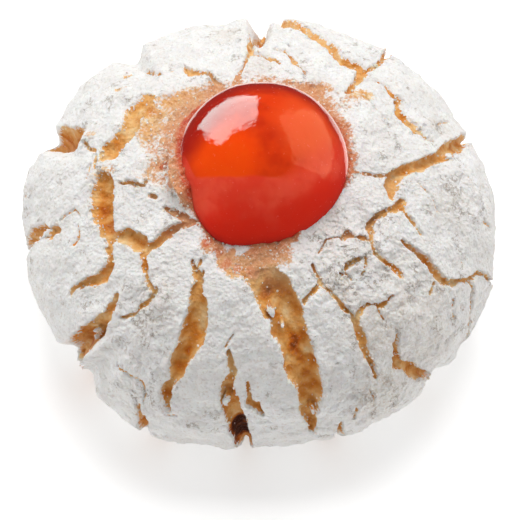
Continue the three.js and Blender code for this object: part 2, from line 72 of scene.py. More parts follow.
# Each crack: its name and its turning points on the crust map as (x, y, width).
CRACKS = [
    ("front split", [(-0.6, -14.4, 3.2), (0.4, -15.6, 3.6), (1.3, -16.7, 3.9), (2.1, -17.6, 4.2),
     (2.6, -18.7, 4.2), (3.1, -19.7, 4.3), (3.6, -20.6, 4.0), (4.0, -21.5, 3.6), (4.4, -22.4, 3.6),
     (4.9, -23.3, 3.6), (5.4, -24.1, 3.4), (5.7, -25.1, 3.0), (5.8, -26.2, 2.8), (5.9, -27.2, 2.6),
     (6.2, -28.4, 2.1), (6.7, -29.8, 1.6), (7.1, -31.4, 0.6)]),
    ("left front split", [(-7.7, -13.5, 0.5), (-7.3, -14.3, 0.6), (-6.9, -15.1, 0.7), (-6.7, -15.9, 1.1),
     (-6.9, -16.9, 1.3), (-6.9, -17.8, 1.6), (-6.8, -18.7, 2.1), (-6.9, -19.5, 2.6), (-7.4, -20.5, 2.9),
     (-8.1, -21.5, 2.8), (-8.8, -22.5, 2.2), (-9.6, -23.5, 1.9), (-10.5, -24.5, 0.8), (-11.2, -25.0, 1.2),
     (-11.1, -25.7, 1.0), (-11.0, -26.4, 0.8), (-11.0, -27.0, 0.4)]),
    ("left front fork", [(-7.2, -14.6, 0.3), (-6.6, -13.7, 0.3)]),
    ("left front spur", [(-6.9, -15.7, 0.35), (-6.3, -14.9, 0.25)]),
    ("arch split", [(-3.6, -22.2, 0.4), (-3.3, -23.2, 0.6), (-3.2, -24.0, 0.9), (-3.6, -24.8, 1.0),
     (-3.9, -25.7, 1.5), (-3.9, -26.6, 2.1), (-3.8, -27.4, 2.5), (-3.7, -28.4, 2.6), (-3.4, -29.2, 2.5),
     (-2.9, -30.3, 2.6), (-2.8, -31.6, 3.0), (-2.8, -33.5, 3.1), (-2.7, -36.0, 2.4), (-2.9, -40.0, 1.4),
     (-3.4, -44.0, 1.2)]),
    ("front nick", [(-1.6, -25.7, 0.3), (-1.2, -26.8, 0.5), (-1.2, -27.2, 0.6), (-0.2, -27.6, 0.9),
     (0.7, -29.0, 0.3)]),
    ("right front crack", [(6.9, -16.4, 0.3), (7.5, -16.7, 0.3), (8.2, -16.9, 0.35), (8.8, -17.4, 0.4),
     (9.5, -18.0, 0.5), (10.2, -18.5, 0.6), (10.7, -18.9, 0.7), (11.1, -19.7, 0.8), (11.5, -20.6, 0.95),
     (12.1, -21.5, 0.9), (12.8, -22.0, 0.75), (13.5, -22.8, 0.75), (13.9, -23.8, 0.4)]),
    ("right front fork", [(11.0, -18.8, 0.4), (11.4, -18.0, 0.55), (12.1, -17.3, 0.5),
     (13.0, -17.2, 0.35), (13.8, -17.2, 0.4), (14.3, -16.6, 0.5), (14.9, -16.0, 0.3)]),
    ("right front link", [(6.2, -14.4, 0.3), (7.0, -15.8, 0.4), (6.8, -16.6, 0.5), (6.0, -17.3, 0.45),
     (5.1, -17.9, 0.4)]),
    ("right lower split", [(15.5, -19.3, 0.4), (15.7, -20.2, 0.9), (16.3, -21.1, 1.5), (17.0, -22.0, 1.6),
     (18.0, -22.3, 1.3), (19.1, -22.5, 1.3), (20.4, -22.6, 1.3), (22.5, -22.7, 1.1), (30.0, -25.5, 1.2)]),
    ("lower right nick", [(12.4, -27.7, 0.4), (12.9, -28.8, 0.4)]),
    ("lower right notch", [(10.6, -29.2, 0.4), (11.2, -30.6, 0.9), (12.6, -33.2, 2.2),
     (15.5, -42.0, 3.0)]),
    ("lower left notch", [(-15.1, -25.2, 0.3), (-15.2, -27.3, 0.9), (-16.4, -29.6, 1.9),
     (-22.0, -39.0, 3.4)]),
    ("left lower split", [(-16.7, -15.2, 0.6), (-17.0, -16.2, 1.1), (-17.7, -17.0, 1.3),
     (-18.7, -17.6, 1.5), (-19.6, -18.1, 2.1), (-20.9, -18.4, 2.6), (-22.1, -18.7, 2.9),
     (-24.0, -19.0, 3.3), (-36.0, -23.5, 4.2)]),
    ("left ring crack", [(-18.1, -1.0, 1.2), (-18.0, -2.5, 2.1), (-18.1, -3.7, 2.8), (-18.0, -4.9, 3.1),
     (-17.8, -5.9, 2.8), (-17.7, -6.9, 2.2), (-17.5, -8.0, 1.7), (-17.2, -9.0, 1.2), (-17.3, -9.9, 0.85),
     (-17.3, -10.8, 0.7), (-17.2, -11.6, 0.9), (-17.5, -12.3, 1.3), (-18.0, -13.1, 1.5),
     (-19.0, -13.3, 1.3), (-20.2, -13.0, 1.0), (-21.4, -12.7, 0.7), (-22.5, -12.8, 0.6),
     (-22.9, -13.4, 0.3)]),
    ("left ring chip", [(-18.6, 2.0, 0.3), (-18.8, 1.1, 0.35), (-19.0, 0.2, 0.25)]),
    ("left branch", [(-16.8, -9.3, 0.5), (-16.1, -9.4, 1.0), (-15.4, -9.6, 1.5), (-14.7, -9.9, 1.75),
     (-13.9, -10.4, 1.8), (-13.1, -11.1, 1.1), (-12.4, -11.3, 1.1), (-11.7, -11.0, 1.2),
     (-10.8, -10.5, 1.3), (-10.0, -9.9, 1.0), (-9.3, -9.6, 0.95), (-8.4, -9.4, 0.9), (-7.4, -9.3, 0.6)]),
    ("left branch fork", [(-12.8, -11.8, 0.9), (-12.9, -12.7, 0.8), (-12.9, -13.5, 0.65),
     (-12.6, -14.5, 0.4), (-12.2, -15.1, 0.3), (-11.8, -15.7, 0.3)]),
    ("left upper branch", [(-10.9, -7.2, 0.5), (-9.9, -8.0, 0.7), (-8.6, -8.7, 0.8), (-8.0, -9.1, 0.9)]),
    ("thin left crack", [(-11.5, -15.7, 0.4), (-12.1, -16.3, 0.5), (-12.7, -16.6, 0.35),
     (-13.5, -17.1, 0.3), (-14.3, -17.5, 0.35), (-15.1, -17.5, 0.35), (-15.8, -17.3, 0.3)]),
    ("upper left split", [(-13.1, 8.4, 1.6), (-13.8, 7.0, 1.9), (-14.4, 5.5, 2.0), (-15.2, 3.9, 2.1),
     (-16.0, 2.8, 2.2), (-16.8, 2.1, 2.2), (-17.5, 1.6, 1.6)]),
    ("upper left link", [(-18.8, 2.4, 0.35), (-19.4, 2.9, 0.45), (-19.9, 3.6, 0.5), (-20.3, 4.5, 0.3)]),
    ("upper left notch", [(-21.2, 6.0, 2.4), (-22.3, 7.0, 3.2), (-23.6, 8.1, 3.4), (-30.0, 11.5, 3.2)]),
    ("left notch", [(-24.1, -5.5, 0.6), (-24.9, -5.1, 1.5), (-25.7, -4.8, 1.0), (-26.7, -4.0, 1.7),
     (-28.3, -3.4, 1.8), (-41.0, 1.0, 2.4)]),
    ("left nick", [(-12.7, -1.4, 0.4), (-13.0, -2.2, 0.35), (-13.0, -3.1, 0.4), (-13.3, -3.8, 0.7),
     (-14.2, -3.3, 0.5), (-15.3, -2.9, 0.5), (-16.4, -2.7, 0.3)]),
    ("left chip", [(-12.5, -5.2, 0.5), (-12.1, -5.4, 0.4)]),
    ("top left crack", [(-13.9, 16.0, 0.3), (-13.0, 14.5, 0.4), (-12.6, 13.6, 0.6), (-12.2, 12.7, 0.8),
     (-11.6, 12.2, 0.6)]),
    ("top left chip", [(-15.6, 15.3, 0.5), (-15.7, 14.0, 0.6)]),
    ("far left chip", [(-16.6, 11.6, 0.5), (-15.9, 11.1, 0.6)]),
    ("top left elbow", [(-9.2, 14.0, 0.3), (-8.7, 13.1, 0.8), (-8.3, 12.6, 1.0), (-7.3, 12.2, 1.0),
     (-6.4, 12.2, 0.9), (-5.5, 11.1, 0.8), (-4.6, 10.0, 0.7)]),
    ("back split", [(0.9, 26.0, 1.8), (-0.4, 21.0, 0.9), (-0.6, 18.6, 0.7), (-0.9, 16.3, 0.85),
     (-1.3, 14.2, 0.9), (-1.6, 13.4, 0.4), (-1.9, 12.6, 0.35), (-2.1, 11.7, 0.35), (-2.6, 10.8, 0.6),
     (-3.0, 10.2, 0.6)]),
    ("back fork", [(-0.8, 13.9, 0.7), (-0.2, 13.8, 1.0), (0.7, 13.6, 1.0), (1.6, 13.2, 0.7),
     (2.5, 13.0, 0.35)]),
    ("back hook", [(2.1, 15.2, 0.25), (2.9, 15.2, 0.4), (3.4, 14.5, 0.4), (4.0, 13.7, 0.4),
     (4.8, 12.6, 0.3), (5.3, 12.1, 0.3), (5.6, 11.5, 0.25)]),
    ("back right band", [(0.5, 42.0, 2.2), (0.9, 33.0, 2.0), (2.2, 24.5, 2.2), (3.4, 21.7, 2.2),
     (4.5, 20.7, 2.1), (5.5, 19.9, 2.0), (6.3, 19.4, 1.7), (7.2, 18.8, 1.1), (8.1, 17.6, 1.5),
     (8.6, 16.3, 1.4), (9.2, 15.3, 1.1), (10.1, 14.6, 1.5), (11.2, 14.4, 1.5), (12.0, 13.9, 1.6),
     (12.1, 12.7, 1.1), (11.6, 11.6, 0.7), (11.2, 10.4, 0.7), (10.6, 9.2, 0.8)]),
    ("back right branch", [(12.6, 13.9, 0.6), (13.3, 14.7, 0.35), (13.8, 15.6, 0.35), (14.1, 16.8, 0.45),
     (14.8, 18.2, 0.9), (18.0, 28.0, 1.8)]),
    ("far right crack", [(12.5, 12.8, 0.4), (13.3, 12.0, 0.6), (13.8, 11.4, 1.1), (14.5, 10.7, 1.0),
     (15.2, 10.1, 0.5), (16.6, 9.7, 0.25)]),
    ("far right elbow", [(16.0, 9.5, 0.5), (16.0, 8.5, 0.7), (16.6, 7.3, 0.8), (17.4, 6.2, 0.8),
     (18.1, 5.2, 0.7), (19.1, 4.9, 0.5), (20.3, 4.7, 0.3)]),
    ("inner right crack", [(12.0, 8.4, 0.3), (13.4, 7.2, 0.35), (14.9, 6.1, 0.25)]),
    ("right split", [(30.5, 16.5, 1.8), (25.6, 10.4, 1.3), (23.2, 6.1, 1.5), (22.2, 4.4, 1.6),
     (21.2, 3.2, 1.6), (19.8, 2.0, 1.4), (18.8, 0.9, 1.6), (18.0, 0.2, 1.6), (17.2, -0.7, 1.5),
     (16.3, -1.5, 1.6), (15.7, -2.5, 1.7), (15.2, -3.8, 1.7), (15.2, -4.8, 0.9)]),
    ("right split side", [(15.0, -2.2, 0.35), (13.5, -2.8, 0.35), (12.1, -2.9, 0.4), (10.4, -3.0, 0.35)]),
    ("right ring crack", [(16.7, -5.2, 0.9), (16.4, -5.7, 1.1), (15.3, -6.5, 0.75), (14.6, -6.9, 0.75),
     (13.8, -7.5, 0.85), (13.1, -8.9, 0.7), (12.7, -10.1, 0.55), (13.1, -11.3, 0.5), (13.9, -12.1, 0.5),
     (15.0, -12.6, 0.45), (15.7, -13.0, 0.45), (16.0, -13.5, 0.3)]),
    ("right ring tail", [(16.6, -6.2, 0.3), (17.2, -7.0, 0.35), (17.6, -7.5, 0.35), (18.2, -8.3, 0.25)]),
    ("right ring spur", [(12.6, -10.3, 0.3), (10.9, -10.4, 0.35), (10.1, -10.6, 0.55),
     (9.5, -11.2, 0.3)]),
    ("right ring foot", [(12.2, -12.1, 0.3), (12.2, -13.1, 0.35), (11.7, -13.9, 0.25)]),
    ("right ring hook", [(9.3, -14.7, 0.3), (9.8, -14.3, 0.35), (10.2, -13.5, 0.35), (10.8, -12.8, 0.35),
     (11.5, -12.3, 0.3)]),
    ("right lower ring", [(16.1, -10.0, 0.35), (16.9, -10.4, 0.6), (17.6, -10.6, 0.8), (18.4, -10.9, 1.1),
     (19.3, -11.4, 1.5), (20.2, -11.8, 1.5), (20.8, -12.2, 1.1), (21.6, -12.4, 0.6)]),
    ("right lower arm", [(21.8, -12.0, 0.6), (22.8, -11.7, 0.6), (24.1, -10.9, 0.5), (25.6, -9.7, 0.6),
     (26.4, -8.9, 0.5), (27.9, -8.5, 0.4), (34.0, -6.0, 0.6)]),
    ("right lower tail", [(20.0, -13.1, 0.3), (19.3, -14.2, 0.3)]),
    ("right rim crack", [(25.0, -10.3, 0.5), (25.9, -10.8, 0.6), (26.4, -11.7, 0.6), (27.2, -12.6, 0.7),
     (28.1, -13.6, 0.7), (31.0, -15.2, 0.8)]),
    ("back left split", [(-9.5, 25.0, 0.4), (-9.0, 29.0, 1.6), (-11.0, 34.0, 2.0), (-10.5, 43.0, 2.4)]),
    ("back left fork", [(-9.6, 31.0, 0.9), (-13.5, 29.5, 0.8), (-17.5, 31.0, 0.4)]),
    ("back right split", [(19.0, 22.5, 0.4), (20.5, 26.0, 1.3), (25.0, 29.5, 1.8), (29.0, 35.0, 2.2)]),
    ("back right link", [(17.8, 27.6, 1.0), (13.0, 31.0, 0.8), (8.5, 30.0, 0.4)]),
    ("far left split", [(-25.5, 20.5, 0.5), (-29.5, 23.0, 1.4), (-36.0, 27.0, 1.8)]),
    ("right low split", [(34.0, 4.5, 0.5), (37.5, 2.5, 1.2), (44.0, 3.5, 1.8)]),
]

# Hairlines and small chips, in the same manner.
HAIRLINES = [
    [(-16.9, -22.1, 0.25), (-16.0, -22.5, 0.25), (-15.4, -23.1, 0.3), (-14.5, -23.4, 0.25),
     (-13.9, -23.8, 0.25), (-13.6, -24.3, 0.3), (-13.8, -25.2, 0.25), (-14.2, -25.8, 0.2)],
    [(-11.6, -27.5, 0.25), (-10.4, -28.0, 0.25)],
    [(-23.7, -4.2, 0.2), (-22.8, -4.0, 0.3), (-21.6, -3.8, 0.25), (-21.0, -4.8, 0.2)],
    [(-21.2, -5.9, 0.25), (-21.1, -6.8, 0.4), (-21.2, -7.5, 0.5), (-21.6, -8.0, 0.4)],
    [(-30.0, 4.5, 0.3), (-28.5, 2.6, 0.35), (-27.0, 2.3, 0.25)],
    [(28.5, -2.7, 0.4), (29.8, -2.0, 0.4)],
    [(26.7, -2.7, 0.3), (27.8, -2.4, 0.3)],
    [(23.7, -8.3, 0.3), (23.9, -9.0, 0.3)],
    [(24.0, 1.7, 0.25), (24.5, 1.1, 0.3), (25.8, 1.0, 0.25)],
    [(23.0, -13.5, 0.3), (23.2, -14.2, 0.3)],
    [(23.3, -14.7, 0.3), (24.0, -15.5, 0.3)],
    [(13.5, -25.2, 0.2), (14.5, -26.0, 0.3), (15.0, -27.0, 0.2)],
    [(13.5, -17.3, 0.3), (14.1, -18.2, 0.25)],
    [(20.8, 8.0, 0.25), (21.3, 8.9, 0.3), (22.5, 10.0, 0.25)],
    [(-11.6, 12.2, 0.35), (-11.0, 12.7, 0.3), (-10.3, 13.3, 0.3), (-9.4, 13.8, 0.25)],
    [(9.9, -14.5, 0.25), (10.5, -15.0, 0.3)],
    [(18.1, -2.0, 0.2), (19.6, -3.4, 0.25), (20.4, -4.6, 0.25)],
    [(-3.9, -21.9, 0.25), (-3.0, -21.0, 0.2)],
    [(-19.3, 0.9, 0.3), (-19.9, -0.6, 0.25)],
    [(7.0, -13.0, 0.25), (8.0, -11.4, 0.25), (9.3, -10.9, 0.2)],
]

# The bare ring of paste round the cherry: the map radius of its outer edge at each bearing.
COLLAR_EDGE = [
    (-180, 12.9), (-164, 13.4), (-158, 12.0), (-148, 11.3), (-138, 11.6), (-130, 12.0), (-124, 12.7),
    (-117, 13.3), (-112, 14.2), (-108, 15.2), (-101, 16.0), (-95, 16.2), (-90, 15.6), (-86, 15.0),
    (-82, 14.4), (-78, 13.6), (-74, 13.1), (-69, 12.7), (-64, 12.0), (-58, 11.0), (-46, 10.4),
    (-30, 10.9), (-15, 11.3), (0, 10.9), (12, 10.9), (24, 11.2), (36, 12.3), (44, 13.2), (54, 13.0),
    (62, 12.0), (78, 10.7), (90, 10.5), (104, 11.0), (112, 11.4), (121, 12.4), (133, 13.2), (144, 14.6),
    (156, 14.9), (168, 14.2), (180, 12.9)
]

# How far sugar and paste blend across the ring's edge, in mm, at each bearing.
COLLAR_BLUR = [
    (-180, 1.3), (-150, 1.0), (-125, 0.35), (-70, 0.35), (-50, 0.7), (0, 1.0), (90, 1.0), (180, 1.3)
]

# How far the ring's paste climbs the cherry, in mm, at each bearing; below nought it sinks.
COLLAR_CLIMB = [
    (-180, 2.3), (-170, 2.5), (-156, 3.0), (-144, 2.7), (-137, 1.2), (-130, 0.0), (-122, -0.9),
    (-105, -1.0), (-90, -0.2), (-80, 0.3), (-65, 0.5), (-20, 0.6), (20, 0.7), (60, 0.9), (90, 0.9),
    (120, 1.1), (150, 1.7), (180, 2.3)
]

# Bits of crust left standing in the cracks: (x, y, radius) on the map.
FRAGMENTS = [
    (-4.2, -27.2, 0.6), (1.4, -19.2, 0.55), (2.6, -20.3, 0.3), (6.6, -28.2, 0.35), (-20.4, -18.6, 0.25),
    (-19.8, -18.2, 0.2), (22.0, 3.6, 0.35), (-25.8, -4.5, 0.55), (8.2, 18.4, 0.3)
]

# Where the paste is browner or, below nought, paler: (x, y, radius, amount) on the map. The first and
# darkest is browned paste with painted shadow in the hollow under the arch at the front.
TOASTED_AND_SHADED = [
    (-3.0, -33.4, 2.8, 1.4), (-1.6, -31.3, 1.2, 0.7), (7.2, -30.8, 1.4, 0.5), (0.3, -15.4, 1.4, 0.3),
    (4.2, -22.2, 0.9, 0.7), (5.6, -25.0, 0.8, 0.45), (5.0, -24.0, 0.7, 0.3), (1.0, -17.4, 1.2, 0.8),
    (-8.6, -22.4, 0.6, 0.35), (-11.2, -25.6, 0.9, 0.3), (3.4, -19.6, 1.3, -0.4), (5.6, -22.6, 0.9, -0.35),
    (-7.0, -20.4, 0.8, -0.35), (-8.8, -21.9, 0.5, -0.35), (19.4, -11.3, 1.1, 0.4),
    (-18.6, -5.0, 1.5, 0.4), (-17.8, -7.2, 1.3, 0.35), (-7.0, -18.2, 1.2, 0.2), (-10.0, -23.9, 0.9, 0.2)
]

# Patches where the crust is scaly and creased, not smooth: (x, y, radius, amount).
SCALY_PATCHES = [
    (12.0, -11.0, 5.5, 0.8), (9.0, -16.5, 3.5, 0.9), (-12.0, -17.5, 4.5, 0.9), (23.5, -1.0, 4.0, 0.8),
    (-16.5, 11.0, 4.5, 0.5), (-14.5, -24.5, 4.5, 0.6), (14.5, -25.5, 4.5, 0.8), (17.0, -15.5, 4.0, 0.7),
    (-4.0, 17.0, 4.0, 0.6), (4.0, 12.5, 3.0, 0.5), (19.5, 6.5, 3.5, 0.6), (-18.0, -0.5, 2.2, 0.8),
    (-15.0, -6.5, 2.5, 0.2), (22.0, -16.0, 4.0, 0.7)
]

# Patches of paste that the cherry's syrup reddens, in the same manner.
REDDENED_PATCHES = [
    (-11.4, -1.5, 0.9, 0.9), (-10.2, -4.0, 0.9, 0.8), (-7.2, -10.2, 1.1, 0.9), (-5.9, -11.8, 0.9, 0.85),
    (-4.7, -13.2, 0.8, 0.75), (-3.6, -14.4, 0.8, 0.7), (-2.2, -15.0, 0.8, 0.6), (-0.4, -15.4, 0.9, 0.5)
]

# Patches of the bare ring that sugar dusts, in the same manner.
DUSTED_PATCHES = [
    (-2.4, -12.7, 1.7, 1.1), (-12.5, 1.5, 2.4, 0.55), (-11.8, 6.6, 1.6, 0.35), (-1.5, 11.0, 3.0, 0.5),
    (11.2, 2.5, 2.0, 0.5), (9.0, 8.5, 1.2, 0.4), (-11.2, -3.4, 1.6, 0.6), (11.0, -2.5, 1.2, 0.3)
]

# Patches where paste shows through the sugar, in the same manner.
BARE_PATCHES = [
    (12.0, 8.7, 1.4, 0.7), (10.9, 8.2, 1.2, 0.6), (-16.1, 11.1, 0.9, 0.5), (-19.0, 5.0, 0.8, 0.5),
    (-17.8, -0.6, 1.3, 0.45), (2.5, -12.5, 2.2, 0.8), (-5.6, -12.0, 1.4, 0.8), (-12.6, -2.4, 1.2, 0.5)
]

# Patches where the sugar is thin and the crust greyer, in the same manner.
THIN_PATCHES = [
    (-3.5, 20.0, 2.4, 0.5), (20.6, 7.5, 1.8, 0.6), (-19.0, 5.0, 1.6, 0.5), (9.3, -15.9, 2.2, 0.6),
    (15.5, -25.5, 4.0, 0.7), (13.0, -19.5, 3.6, 0.7), (18.0, -18.0, 8.0, 0.45), (10.5, -12.5, 3.6, 0.3),
    (9.2, -11.0, 2.0, 0.3), (21.5, -3.5, 3.0, 0.35), (-18.0, -0.3, 2.0, 0.4), (-11.5, -17.0, 3.0, 0.4),
    (14.0, 2.0, 2.4, 0.2), (0.0, 12.6, 2.6, 0.4)
]

# ---- Lips, cracks and the bare ring ----
CRUST_THICKNESS = 0.34
LIP_WIDTH = 0.11
LIP_STRAY = [(31, 2.3, 0.42), (33, 0.8, 0.2)]  # seed, size, reach
CHIP_SIZE = 0.95
BITE_SIZE = 0.42
FRAGMENT_HEIGHT = 0.4
CRACK_DEPTH_LEAST = 0.06
CRACK_DEPTH_PER_WIDTH = 0.6
CRACK_DEPTH_MOST = 2.2  # neared more and more slowly as cracks widen
CRACK_WALL_POWER = 0.45
COLLAR_DEPTH = 0.75
FRONT_SAG = 0.28  # how far the lowest cracks in front slide down
FAR = 3.0  # distances to a lip are only worked out up to this

# ---- Relief of the crust and the paste ----
CLOD_SIZE = 0.55
FLAKE_STEP = 0.45
CRAZE_SIZE = 1.3
BEAD_SIZE = 0.5
PIT_DEPTH = 0.14
HAIRLINE_DEPTH = 0.3
CRAZE_DEPTH = 0.12
PORES = [(71, 0.9, 0.16), (72, 0.5, 0.1)]  # of the underside: seed, size, depth
STAIN_REACHES = [(0.72, 2.8), (0.28, 0.4)]  # share, how far the cherry's syrup spreads

# ---- How finely the meshes are made, and the crumbs ----
FINE_CUTS = 9  # an icosphere of 1.3 million triangles, reduced again once it is shaped
COOKIE_TRIANGLES = 400_000
CHERRY_CUTS = 7
SOCKET_CUTS = 6
SOCKET_GROWTH = -0.04  # the socket is a little smaller than the cherry, so no gap shows
CRUMB_COUNT = 1600
CRUMB_TRIES = 40  # places tried for each crumb
CRUMB_SIZES = (0.12, 0.3)
CRUMB_SEED = 5
CHERRY_CLEARANCE = 0.25  # no crumb lies nearer the cherry

# ---- Directions as the camera sees them, and the painted glow inside the cherry ----
VIEW_RIGHT = np.array([1.0, 0.0, 0.0])
VIEW_UP = np.array([0.0, 0.848, 0.530])
VIEW_BACK = np.array([0.0, -0.530, 0.848])
PAINTED_GLOW_PLACE = (-3.6, -5.0, 30.0)
PAINTED_GLOW_REACH = 5.4
SIDE_PAINTED_GLOW_PLACE = (5.0, -1.0, 30.5)
SIDE_PAINTED_GLOW_REACH = 5.0

# ---- The stage, in metres ----
WORLD_FILL = 0.285
WORLD_MIRRORED = 0.05
FLOOR_HALF = 1.5
CAMERA_ELEVATION = 58
CAMERA_DISTANCE = 0.5
CAMERA_LENS = 343.6
CAMERA_SHIFT = (0.0005, -0.0472)
WHITE = (1, 1, 1)
COOKIE_MIDDLE = (0, 0, 0.012)
CHERRY_MIDDLE = (0.0, -0.001, 0.023)
# Each lamp: name, place, what it faces, width and height, power, colour, roll in degrees, and
# whether it only lights or is only mirrored. The card, below and behind, makes the pale line
# along the cherry's far rim.
LAMPS = [
    ("overhead", (0.01, 0.15, 0.36), COOKIE_MIDDLE, (0.26, 0.22), 1.02, WHITE, 0, "lights"),
    ("left", (-0.34, 0.02, 0.21), COOKIE_MIDDLE, (0.50, 0.50), 0.50, WHITE, 0, "lights"),
    ("softbox", (-0.234, 0.329, 0.220), CHERRY_MIDDLE, (0.45, 0.46), 3.1, (0.7, 1.0, 0.98),
     -21, "mirrored"),
    ("side", (0.34, 0.05, 0.22), COOKIE_MIDDLE, (0.50, 0.55), 0.41, WHITE, 0, "lights"),
    ("panel", (0.36, 0.16, 0.19), COOKIE_MIDDLE, (0.56, 0.56), 0.85, (1.0, 0.74, 0.42),
     0, "mirrored"),
    ("card", (-0.04, 0.22, -0.26), CHERRY_MIDDLE, (0.62, 0.18), 0.4, (1.0, 0.80, 0.74),
     0, "mirrored"),
]


# ---- Noise ----
def smooth_step(low, high, value):
    share = np.clip((value - low) / (high - low), 0, 1)
    return share * share * (3 - 2 * share)


def corner_value(x, y, z, seed):
    mix = (x * np.uint32(374761393)) ^ (y * np.uint32(668265263)) ^ (z * np.uint32(2147483647))
    mix = mix ^ np.uint32(seed)
    mix = (mix ^ (mix >> np.uint32(13))) * np.uint32(1274126177)
    return (mix ^ (mix >> np.uint32(16))).astype(np.float64) / 4294967295.0 * 2 - 1


def soft_noise(points, seed):
    """Smooth noise between -1 and 1, from random values at whole-numbered corners."""
    base = np.floor(points)
    part = points - base
    ease = part * part * (3 - 2 * part)
    low = base.astype(np.int64).astype(np.uint32)
    total = np.zeros(len(points))
    for corner in range(8):
        step = (corner & 1, (corner >> 1) & 1, (corner >> 2) & 1)
        weight = np.ones(len(points))
        for axis in range(3):
            weight *= ease[:, axis] if step[axis] else 1 - ease[:, axis]
        at = [low[:, axis] + np.uint32(step[axis]) for axis in range(3)]
        total += weight * corner_value(*at, seed)
    return total


TURN = np.array([[0.36, 0.48, -0.8], [-0.8, 0.6, 0.0], [0.48, 0.64, 0.6]])


def turned_noise(points, size, seed):
    """soft_noise with features of about the size given, turned off the axes."""
    return soft_noise(points @ TURN / size + seed * 7.31, seed)


def cell_noise(points, size, seed):
    """Distance to the nearest and to the second nearest of scattered points, in cell sizes."""
    scaled = points / size
    base = np.floor(scaled)
    part = scaled - base
    low = base.astype(np.int64).astype(np.uint32)
    first = np.full(len(points), 9.0)
    second = np.full(len(points), 9.0)
    for dx in (-1, 0, 1):
        for dy in (-1, 0, 1):
            for dz in (-1, 0, 1):
                step = (dx, dy, dz)
                at = [low[:, a] + np.uint32(step[a] % 4294967296) for a in range(3)]
                away = np.zeros(len(points))
                for axis in range(3):
                    jitter = corner_value(*at, seed + axis * 101) * 0.5 + 0.5
                    away += (step[axis] + jitter - part[:, axis]) ** 2
                nearer = away < first
                second = np.where(nearer, first, np.minimum(second, away))
                first = np.where(nearer, away, first)
    return np.sqrt(first), np.sqrt(second)


def terraced(value, step):
    """The value in flat treads a step high with short risers between them, as flakes lie."""
    tread = np.floor(value / step)
    return (tread + smooth_step(0.36, 0.64, value / step - tread)) * step


# ---- The dough's form ----
def lumpiness(points, lumps):
    return sum(height * soft_noise(points / size, LUMP_SEED + i)
               for i, (size, height) in enumerate(lumps))


def dough_radius(toward):
    across = np.hypot(toward[:, 0], toward[:, 1])
    half = np.where(toward[:, 2] > 0, DOME_HEIGHT - WAIST_HEIGHT, UNDERCUT_DEPTH)
    radius = ((across / WAIST_RADIUS) ** PROFILE_POWER
              + (np.abs(toward[:, 2]) / half) ** PROFILE_POWER) ** (-1 / PROFILE_POWER)
    bearing = np.arctan2(toward[:, 1], toward[:, 0])
    wave = sum(reach * np.cos(count * (bearing - math.radians(crest)))
               for count, reach, crest in OUTLINE_WAVES)
    return radius * (1 + wave / WAIST_RADIUS * across)


def crust_map(toward):
    """Where a direction lies on the crust map: as far out as it leans from straight up."""
    tilt = np.arccos(np.clip(toward[:, 2], -1, 1)) * MAP_MM_PER_RADIAN
    bearing = np.arctan2(toward[:, 1], toward[:, 0])
    return tilt * np.cos(bearing), tilt * np.sin(bearing)


def crack_field(x, y, paths):
    """The signed distance to the nearest lip, positive on the crust, and the crack's depth."""
    edge = np.full(len(x), FAR)
    depth = np.zeros(len(x))
    for path in paths:
        for (x0, y0, w0), (x1, y1, w1) in zip(path, path[1:]):
            reach = max(w0, w1) / 2 + FAR
            near = np.flatnonzero((x > min(x0, x1) - reach) & (x < max(x0, x1) + reach)
                                  & (y > min(y0, y1) - reach) & (y < max(y0, y1) + reach))
            if not len(near):
                continue
            run_x, run_y = x1 - x0, y1 - y0
            px, py = x[near] - x0, y[near] - y0
            along = np.clip((px * run_x + py * run_y) / (run_x**2 + run_y**2), 0, 1)
            half = (w0 + (w1 - w0) * along) / 2
            away = np.hypot(px - along * run_x, py - along * run_y)
            edge[near] = np.minimum(edge[near], away - half)
            full = CRACK_DEPTH_LEAST + CRACK_DEPTH_MOST * (
                1 - np.exp(-CRACK_DEPTH_PER_WIDTH * 2 * half / CRACK_DEPTH_MOST))
            valley = full * np.clip(1 - (away / half) ** 2, 0, 1) ** CRACK_WALL_POWER
            depth[near] = np.maximum(depth[near], valley)
    return edge, depth


def lumpy_place(toward):
    """The dough's radius with its lumps and the swells of its outline, and the place there."""
    radius = dough_radius(toward)
    radius = radius + lumpiness(toward * radius[:, None], CRUST_LUMPS)
    turn = np.arctan2(toward @ VIEW_UP, toward @ VIEW_RIGHT)
    off_outline = np.abs(toward @ VIEW_BACK + OUTLINE_TILT * np.sin(turn))
    nearness = 1 - smooth_step(0.25, 0.6, off_outline)
    for middle, reach, height in OUTLINE_SWELLS:
        apart = np.abs((np.degrees(turn) - middle + 180) % 360 - 180)
        radius = radius + height * (1 - smooth_step(0, reach, apart)) * nearness
    return radius, toward * radius[:, None]


def patchwork(x, y, patches):
    """How much of a patch lies at each place of the crust map."""
    share = np.zeros(len(x))
    for px, py, size, amount in patches:
        away = np.hypot(x - px, y - py) / size
        share = np.maximum(share, amount * (1 - smooth_step(0.4, 1.2, away)))
    return share


def toast_and_shade_at(x, y):
    """How much browner than usual the paste is, painted shadow in the arch's hollow included."""
    toast_and_shade = np.zeros(len(x))
    for px, py, size, amount in TOASTED_AND_SHADED:
        toast_and_shade += amount * (1 - smooth_step(0.3, 1.1, np.hypot(x - px, y - py) / size))
    return np.clip(toast_and_shade, -1, 1)


def at_bearing(bearing, table):
    """The value at each bearing, between those that the table gives."""
    return np.interp(bearing, [b for b, _ in table], [v for _, v in table])


def wander(place):
    """How far the lips of the cracks stray from their named lines, in x and in y."""
    return [sum(reach * turned_noise(place, size, seed + axis) for seed, size, reach in LIP_STRAY)
            for axis in range(2)]


